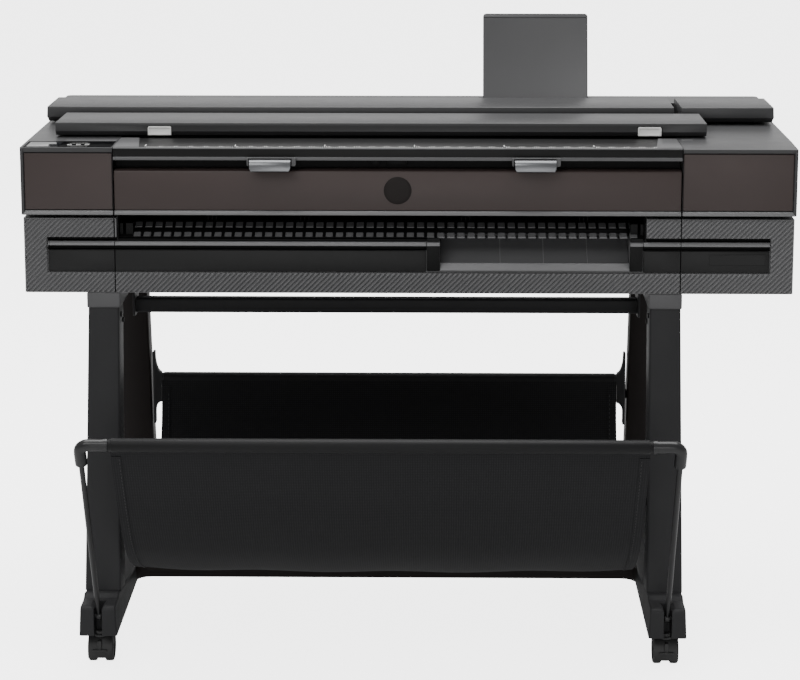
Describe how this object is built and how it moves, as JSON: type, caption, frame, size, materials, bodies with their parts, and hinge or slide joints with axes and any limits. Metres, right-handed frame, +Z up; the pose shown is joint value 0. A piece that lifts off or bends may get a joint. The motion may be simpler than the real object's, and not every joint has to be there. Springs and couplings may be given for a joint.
{
  "type": "large format plotter",
  "caption": "Wide roll-fed plotter with a sheet scanner on top, an output slot in front, an A-leg stand on casters and a cloth basket that catches the prints.",
  "frame": {"origin": "centre of the footprint on the floor", "axes": "+X to the right of the user in front, +Y towards the rear, +Z up"},
  "size_m": [1.317, 0.8977, 1.0452],
  "materials": {
    "dark_plastic": "fine grained moulded plastic, satin",
    "rib_plastic": "moulded plastic with fine diagonal ribs",
    "deck_plastic": "painted satin plastic",
    "taupe_panel": "satin painted panel, warm grey brown",
    "black_plastic": "black moulded plastic",
    "gloss_black": "polished black",
    "grey_latch": "light grey moulded plastic",
    "grey_handle": "satin metallic paint",
    "stand_paint": "fine textured powder coat",
    "cloth": "black plain weave",
    "steel": "ground",
    "zinc_sheet": "zinc plated sheet",
    "belt_rubber": "matte",
    "roller_rubber": "matte",
    "tyre": "matte tread",
    "glass": "polished float glass",
    "board_green": "solder mask"
  },
  "bodies": {
    "root": {"base_centre": "rib_plastic", "base_left": "rib_plastic", "base_right": "rib_plastic", "basket_cloth_rear": "cloth", "basket_rear_frame": "stand_paint", "carriage_rail": "steel", "chassis_beam": "zinc_sheet", "drive_belt": "belt_rubber", "foot_left": "stand_paint", "foot_right": "stand_paint", "front_panel": "taupe_panel", "left_front_panel": "taupe_panel", "leg_left": "stand_paint", "leg_right": "stand_paint", "lower_beam": "stand_paint", "main_board": "board_green", "output_ramp": "black_plastic", "output_trim": "dark_plastic", "platen": "black_plastic", "power_inlet": "black_plastic", "rear_housing": "dark_plastic", "touch_panel": "gloss_black", "upper_beam": "stand_paint", "upper_left": "dark_plastic", "upper_right": "dark_plastic"},
    "scanner": {"scanner_base": "black_plastic", "scanner_glass": "glass"},
    "scanner_lid": {"scanner_lid": "dark_plastic"},
    "lid_latch_left": {"lid_latch_left": "grey_latch"},
    "lid_latch_right": {"lid_latch_right": "grey_latch"},
    "scanner_handle_left": {"scanner_handle_left": "grey_handle"},
    "scanner_handle_right": {"scanner_handle_right": "grey_handle"},
    "roll_cover": {"roll_cover": "deck_plastic"},
    "service_cover": {"service_cover": "deck_plastic"},
    "ink_door": {"ink_door": "taupe_panel"},
    "ink_cartridge_1": {"ink_cartridge_1": "black_plastic"},
    "ink_cartridge_2": {"ink_cartridge_2": "black_plastic"},
    "ink_cartridge_3": {"ink_cartridge_3": "black_plastic"},
    "ink_cartridge_4": {"ink_cartridge_4": "black_plastic"},
    "sheet_support": {"sheet_support": "deck_plastic"},
    "power_switch": {"power_switch": "gloss_black"},
    "power_button": {"power_button": "gloss_black"},
    "print_carriage": {"print_carriage": "black_plastic"},
    "drive_pulley": {"drive_pulley": "steel"},
    "idler_pulley": {"idler_pulley": "steel"},
    "feed_roller": {"feed_roller": "roller_rubber"},
    "pinch_roller": {"pinch_roller": "roller_rubber"},
    "roll_spindle": {"roll_spindle": "black_plastic"},
    "basket_frame": {"basket_rail": "cloth", "basket_arm_left": "stand_paint", "basket_arm_right": "stand_paint", "basket_cloth_front": "cloth"},
    "caster_fork_front_left": {"caster_fork_front_left": "black_plastic"},
    "caster_wheels_front_left": {"caster_wheels_front_left": "tyre"},
    "caster_fork_front_right": {"caster_fork_front_right": "black_plastic"},
    "caster_wheels_front_right": {"caster_wheels_front_right": "tyre"},
    "caster_fork_rear_left": {"caster_fork_rear_left": "black_plastic"},
    "caster_wheels_rear_left": {"caster_wheels_rear_left": "tyre"},
    "caster_fork_rear_right": {"caster_fork_rear_right": "black_plastic"},
    "caster_wheels_rear_right": {"caster_wheels_rear_right": "tyre"}
  },
  "joints": [
    {"name": "scanner_lift", "type": "hinge", "parent": "root", "child": "scanner", "pos_m": [0, 0.14855, 0.874], "axis": [-1, 0, 0], "range_deg": [0, 30]},
    {"name": "scanner_lid_open", "type": "hinge", "parent": "scanner", "child": "scanner_lid", "pos_m": [0, 0.14855, 0.876], "axis": [-1, 0, 0], "range_deg": [0, 60]},
    {"name": "lid_latch_left_press", "type": "slide", "parent": "scanner_lid", "child": "lid_latch_left", "axis": [0, 1, 0], "range_m": [0, 0.003], "stiffness_N_per_m": 300, "springref_m": -0.002},
    {"name": "lid_latch_right_press", "type": "slide", "parent": "scanner_lid", "child": "lid_latch_right", "axis": [0, 1, 0], "range_m": [0, 0.003], "stiffness_N_per_m": 300, "springref_m": -0.002},
    {"name": "scanner_handle_left_pull", "type": "hinge", "parent": "scanner", "child": "scanner_handle_left", "pos_m": [-0.2315, -0.11465, 0.8492], "axis": [-1, 0, 0], "range_deg": [0, 12], "stiffness_Nm_per_rad": 0.3, "springref_deg": -8.59},
    {"name": "scanner_handle_right_pull", "type": "hinge", "parent": "scanner", "child": "scanner_handle_right", "pos_m": [0.2164, -0.11465, 0.8492], "axis": [-1, 0, 0], "range_deg": [0, 12], "stiffness_Nm_per_rad": 0.3, "springref_deg": -8.59},
    {"name": "roll_cover_open", "type": "hinge", "parent": "root", "child": "roll_cover", "pos_m": [0, 0.31655, 0.89], "axis": [-1, 0, 0], "range_deg": [0, 50]},
    {"name": "service_cover_open", "type": "hinge", "parent": "root", "child": "service_cover", "pos_m": [0.57, 0.31655, 0.89], "axis": [-1, 0, 0], "range_deg": [0, 50]},
    {"name": "ink_door_open", "type": "hinge", "parent": "root", "child": "ink_door", "pos_m": [0.556, -0.11315, 0.7596], "axis": [1, 0, 0], "range_deg": [0, 90]},
    {"name": "ink_cartridge_1_press", "type": "slide", "parent": "root", "child": "ink_cartridge_1", "axis": [0, 1, 0], "range_m": [0, 0.004], "stiffness_N_per_m": 400, "springref_m": -0.003},
    {"name": "ink_cartridge_2_press", "type": "slide", "parent": "root", "child": "ink_cartridge_2", "axis": [0, 1, 0], "range_m": [0, 0.004], "stiffness_N_per_m": 400, "springref_m": -0.003},
    {"name": "ink_cartridge_3_press", "type": "slide", "parent": "root", "child": "ink_cartridge_3", "axis": [0, 1, 0], "range_m": [0, 0.004], "stiffness_N_per_m": 400, "springref_m": -0.003},
    {"name": "ink_cartridge_4_press", "type": "slide", "parent": "root", "child": "ink_cartridge_4", "axis": [0, 1, 0], "range_m": [0, 0.004], "stiffness_N_per_m": 400, "springref_m": -0.003},
    {"name": "sheet_support_slide", "type": "slide", "parent": "root", "child": "sheet_support", "axis": [0, 0.2656, 0.9641], "range_m": [-0.12, 0]},
    {"name": "power_switch_rock", "type": "hinge", "parent": "root", "child": "power_switch", "pos_m": [0.585, 0.43975, 0.7375], "axis": [1, 0, 0], "range_deg": [-10, 0]},
    {"name": "power_button_press", "type": "slide", "parent": "root", "child": "power_button", "axis": [0, 0, -1], "range_m": [0, 0.0009], "stiffness_N_per_m": 300, "springref_m": -0.0008},
    {"name": "carriage_slide", "type": "slide", "parent": "root", "child": "print_carriage", "axis": [-1, 0, 0], "range_m": [0, 1.06]},
    {"name": "drive_pulley_spin", "type": "hinge", "parent": "root", "child": "drive_pulley", "pos_m": [0.615, 0.16105, 0.814], "axis": [0, 1, 0], "continuous": true},
    {"name": "idler_pulley_spin", "type": "hinge", "parent": "root", "child": "idler_pulley", "pos_m": [-0.615, 0.16105, 0.814], "axis": [0, 1, 0], "continuous": true},
    {"name": "feed_roller_spin", "type": "hinge", "parent": "root", "child": "feed_roller", "pos_m": [-0.0175, 0.09155, 0.738], "axis": [1, 0, 0], "continuous": true},
    {"name": "pinch_roller_spin", "type": "hinge", "parent": "root", "child": "pinch_roller", "pos_m": [-0.0175, 0.09155, 0.7594], "axis": [1, 0, 0], "continuous": true},
    {"name": "roll_spindle_spin", "type": "hinge", "parent": "root", "child": "roll_spindle", "pos_m": [-0.0185, 0.25255, 0.8], "axis": [1, 0, 0], "continuous": true},
    {"name": "basket_fold", "type": "hinge", "parent": "root", "child": "basket_frame", "pos_m": [0, -0.25945, 0.089], "axis": [-1, 0, 0], "range_deg": [0, 25]},
    {"name": "caster_front_left_swivel", "type": "hinge", "parent": "root", "child": "caster_fork_front_left", "pos_m": [-0.5213, -0.24445, 0.05], "axis": [0, 0, 1], "continuous": true},
    {"name": "caster_front_left_roll", "type": "hinge", "parent": "caster_fork_front_left", "child": "caster_wheels_front_left", "pos_m": [-0.5213, -0.23045, 0.025], "axis": [1, 0, 0], "continuous": true},
    {"name": "caster_front_right_swivel", "type": "hinge", "parent": "root", "child": "caster_fork_front_right", "pos_m": [0.4389, -0.24445, 0.05], "axis": [0, 0, 1], "continuous": true},
    {"name": "caster_front_right_roll", "type": "hinge", "parent": "caster_fork_front_right", "child": "caster_wheels_front_right", "pos_m": [0.4389, -0.23045, 0.025], "axis": [1, 0, 0], "continuous": true},
    {"name": "caster_rear_left_swivel", "type": "hinge", "parent": "root", "child": "caster_fork_rear_left", "pos_m": [-0.5213, 0.40655, 0.05], "axis": [0, 0, 1], "continuous": true},
    {"name": "caster_rear_left_roll", "type": "hinge", "parent": "caster_fork_rear_left", "child": "caster_wheels_rear_left", "pos_m": [-0.5213, 0.42055, 0.025], "axis": [1, 0, 0], "continuous": true},
    {"name": "caster_rear_right_swivel", "type": "hinge", "parent": "root", "child": "caster_fork_rear_right", "pos_m": [0.4389, 0.40655, 0.05], "axis": [0, 0, 1], "continuous": true},
    {"name": "caster_rear_right_roll", "type": "hinge", "parent": "caster_fork_rear_right", "child": "caster_wheels_rear_right", "pos_m": [0.4389, 0.42055, 0.025], "axis": [1, 0, 0], "continuous": true}
  ],
  "couplings": [
    {"joint": "drive_pulley_spin", "follows": "carriage_slide", "rad_per_m": 111},
    {"joint": "idler_pulley_spin", "follows": "carriage_slide", "rad_per_m": 111},
    {"joint": "pinch_roller_spin", "follows": "feed_roller_spin", "ratio": -2.5}
  ]
}
